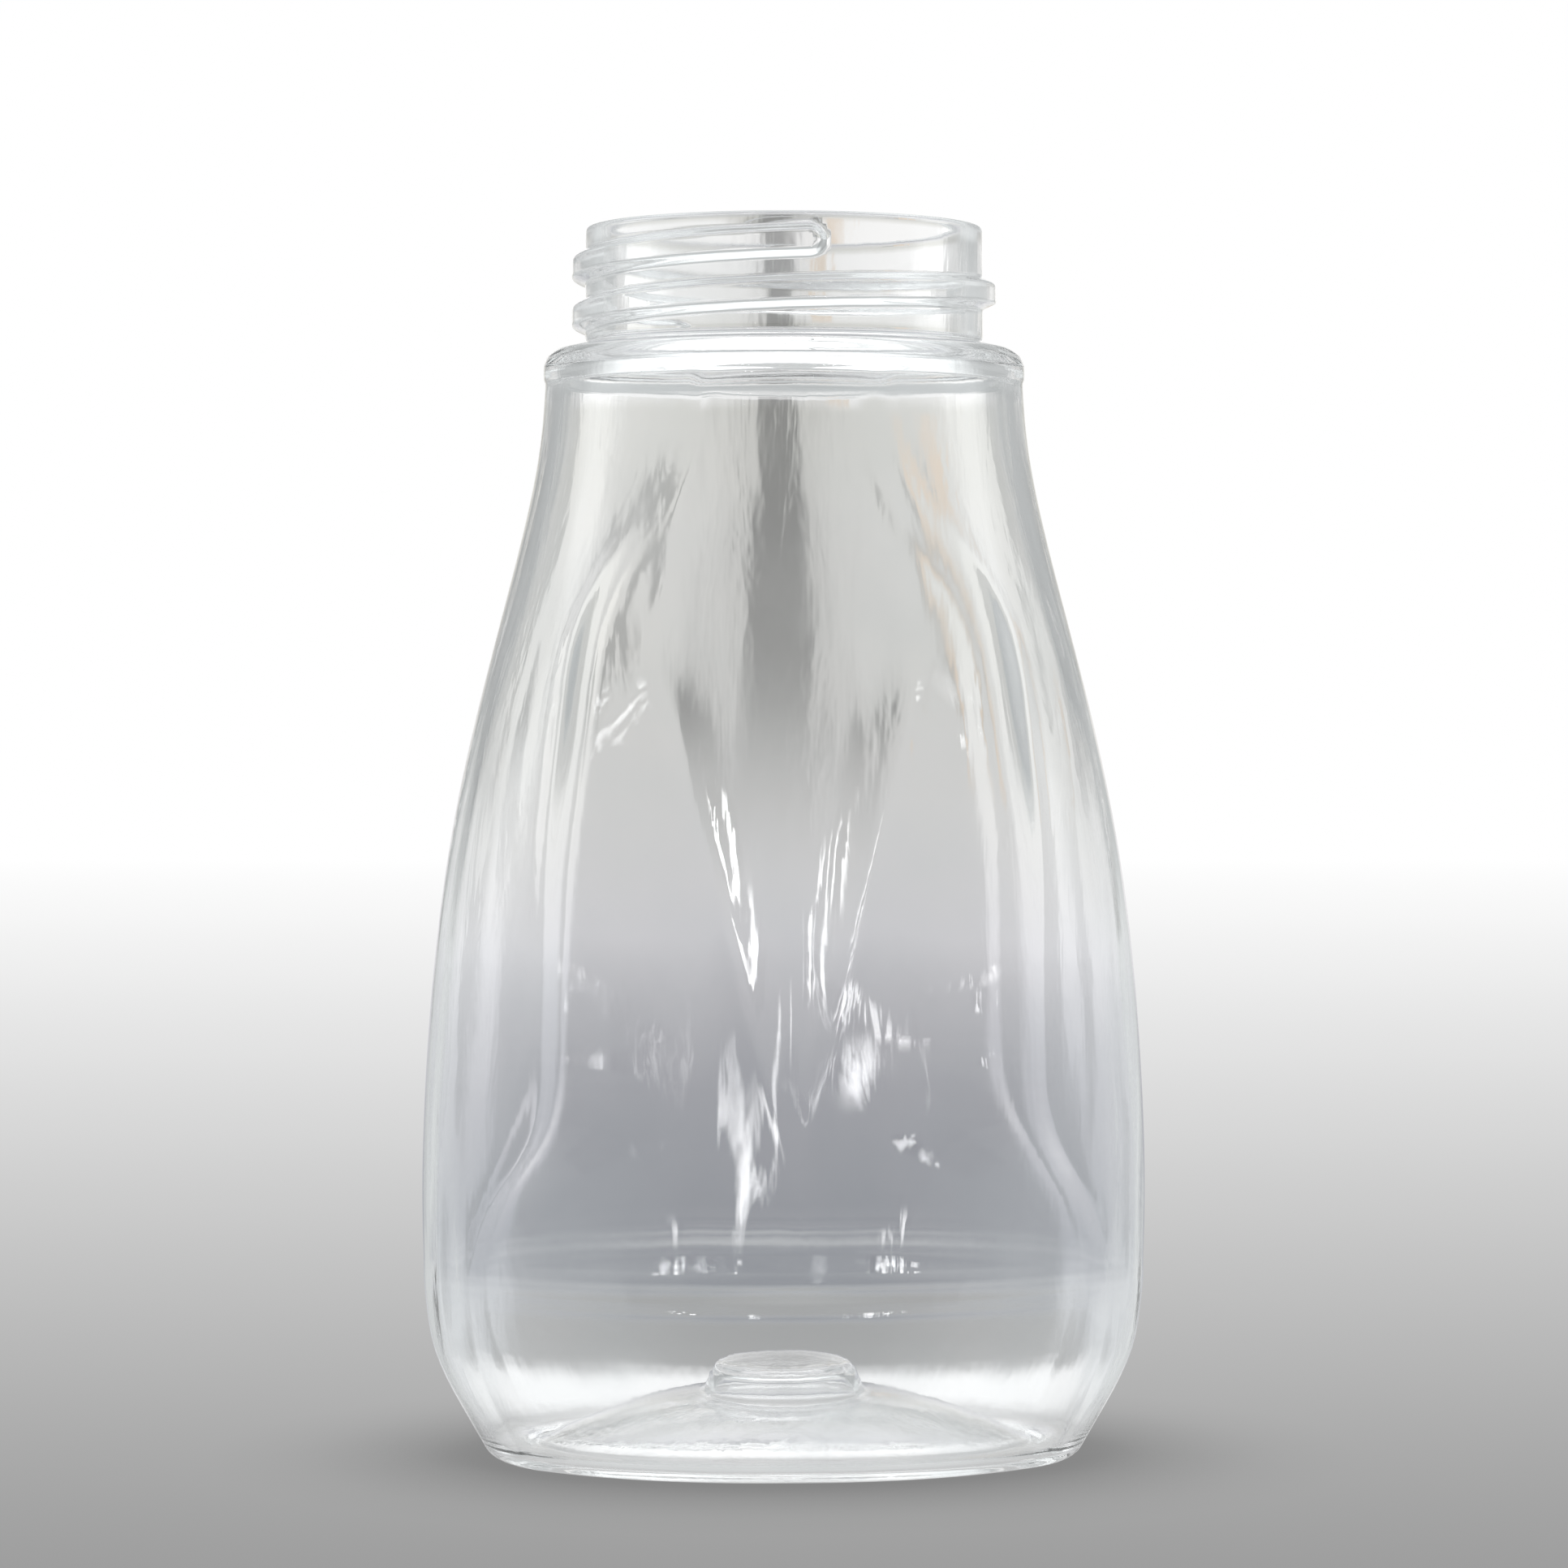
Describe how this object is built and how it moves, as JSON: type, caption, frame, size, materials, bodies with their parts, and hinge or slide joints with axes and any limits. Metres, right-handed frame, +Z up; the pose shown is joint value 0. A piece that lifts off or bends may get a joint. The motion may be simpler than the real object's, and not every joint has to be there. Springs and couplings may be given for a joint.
{
  "type": "squeeze bottle",
  "caption": "Clear oval squeeze bottle with a round shoulder, threaded wide neck, petal-shaped label panels and a pushed-up base.",
  "frame": {"origin": "middle of the foot, on the plane that the bottle stands on", "axes": "+Z up along the neck's axis, broad label panels face -Y and +Y, narrow sides face +X and -X"},
  "size_m": [0.0636, 0.044, 0.1077],
  "materials": {
    "clear_shell": "clear glossy blown plastic"
  },
  "bodies": {
    "root": {"bottle": "clear_shell"}
  },
  "joints": []
}
